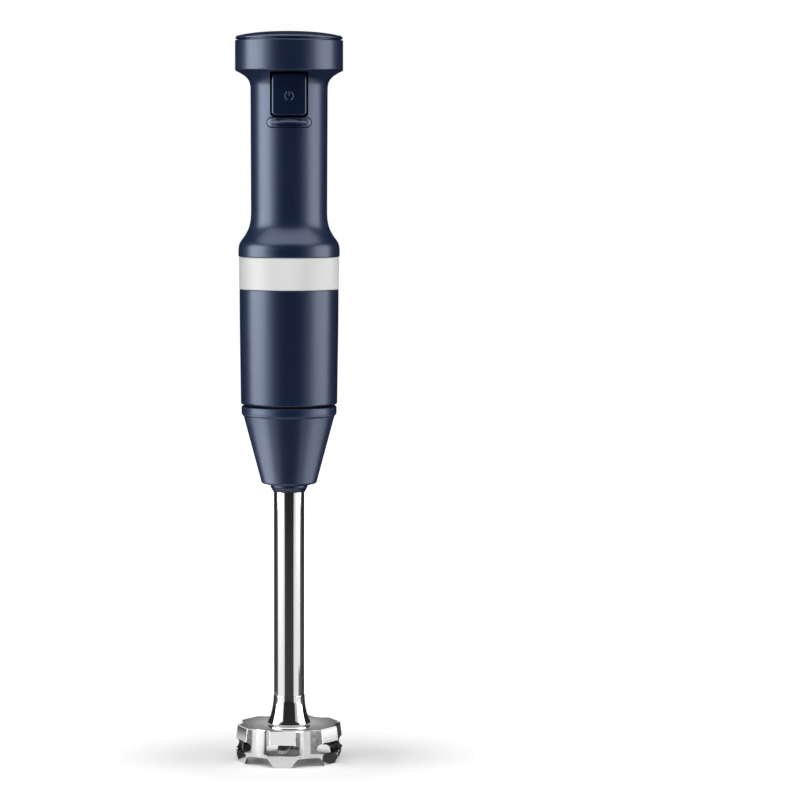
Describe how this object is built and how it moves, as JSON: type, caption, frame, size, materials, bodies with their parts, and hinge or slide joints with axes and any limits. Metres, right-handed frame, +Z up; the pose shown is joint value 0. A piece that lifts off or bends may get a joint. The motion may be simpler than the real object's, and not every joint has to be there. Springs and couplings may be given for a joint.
{
  "type": "immersion blender",
  "caption": "Cordless stick blender: battery grip with a squeeze paddle and lock button, motor housing, twist-off steel arm with a lobed, slotted blade bell.",
  "frame": {"origin": "on the floor, on the shaft's axis, under the middle of the blade bell", "axes": "+Z up along the shaft's axis; the power paddle faces -Y; +X is to the right of someone facing the paddle"},
  "size_m": [0.0616, 0.0622, 0.4135],
  "materials": {
    "navy": "satin",
    "navy_control": "satin",
    "satin_silver": "brushed satin",
    "polished_steel": "polished",
    "steel": "machined",
    "nickel": "plated",
    "black_plastic": "matt",
    "grey_plastic": "matt",
    "cell_wrap": "shrink sleeve",
    "board_green": "satin",
    "magnet": "matt",
    "copper": "lacquered",
    "brass": "sintered",
    "carbon": "matt",
    "rubber": "matt",
    "lead_red": "satin"
  },
  "bodies": {
    "motor_body": {"grip_housing": "navy", "top_cap": "navy", "motor_housing": "navy", "trim_band": "satin_silver", "joining_sleeve": "black_plastic", "arm_socket": "grey_plastic", "inner_frame": "grey_plastic", "battery_cell_1": "cell_wrap", "battery_cell_2": "cell_wrap", "cell_links": "nickel", "control_board": "board_green", "board_parts": "black_plastic", "sensor_board": "board_green", "speed_sensor": "black_plastic", "lock_switch": "black_plastic", "paddle_pin": "steel", "paddle_spring": "steel", "lock_spring": "steel", "charge_jack": "nickel", "jack_board": "board_green", "power_leads": "lead_red", "motor_mount": "grey_plastic", "motor_screws": "steel", "motor_can": "steel", "field_magnets": "magnet", "brush_cap": "grey_plastic", "brush_holders": "brass", "carbon_brushes": "carbon", "brush_springs": "steel", "front_bearing": "steel", "rear_bearing": "steel", "motor_isolator": "rubber"},
    "power_paddle": {"power_paddle": "navy_control"},
    "speed_plunger": {"speed_plunger": "black_plastic"},
    "lock_button": {"lock_button": "navy_control"},
    "rotor": {"rotor_shaft": "steel", "armature_core": "magnet", "armature_windings": "copper", "commutator": "copper", "cooling_fan": "black_plastic", "drive_coupler": "steel"},
    "lock_ring": {"lock_ring": "black_plastic"},
    "blending_arm": {"arm_cone": "navy", "arm_hub": "black_plastic", "hub_screws": "steel", "arm_o_ring": "rubber", "tube_collar": "navy", "shaft_tube": "polished_steel", "bell_neck": "polished_steel", "blade_bell": "polished_steel", "upper_bushing": "brass", "lower_bushing": "brass", "shaft_seal": "rubber"},
    "blade_shaft": {"drive_shaft": "steel", "shaft_coupler": "black_plastic", "shaft_clip": "steel", "blade": "polished_steel", "blade_nut": "polished_steel"}
  },
  "joints": [
    {"name": "paddle_squeeze", "type": "hinge", "parent": "motor_body", "child": "power_paddle", "pos_m": [0, -0.016, 0.3924], "axis": [1, 0, 0], "range_deg": [0, 5.5], "stiffness_Nm_per_rad": 0.5, "springref_deg": -4.58, "deforming": ["paddle_spring"]},
    {"name": "plunger_slide", "type": "slide", "parent": "motor_body", "child": "speed_plunger", "axis": [0, 1, 0], "range_m": [0, 0.0022]},
    {"name": "lock_press", "type": "slide", "parent": "motor_body", "child": "lock_button", "axis": [0, 1, 0], "range_m": [0, 0.0015], "stiffness_N_per_m": 600, "springref_m": -0.002, "deforming": ["lock_spring"]},
    {"name": "rotor_spin", "type": "hinge", "parent": "motor_body", "child": "rotor", "pos_m": [0, 0, 0.24], "axis": [0, 0, 1], "continuous": true},
    {"name": "arm_twist", "type": "hinge", "parent": "motor_body", "child": "lock_ring", "pos_m": [0, 0, 0.2099], "axis": [0, 0, 1], "range_deg": [0, 25]},
    {"name": "arm_pull", "type": "slide", "parent": "lock_ring", "child": "blending_arm", "axis": [0, 0, -1], "range_m": [0, 0.04]},
    {"name": "blade_spin", "type": "hinge", "parent": "blending_arm", "child": "blade_shaft", "pos_m": [0, 0, 0.1], "axis": [0, 0, 1], "continuous": true}
  ],
  "couplings": [
    {"joint": "plunger_slide", "follows": "paddle_squeeze", "m_per_rad": 0.021},
    {"joint": "blade_spin", "follows": "rotor_spin", "ratio": 1}
  ]
}
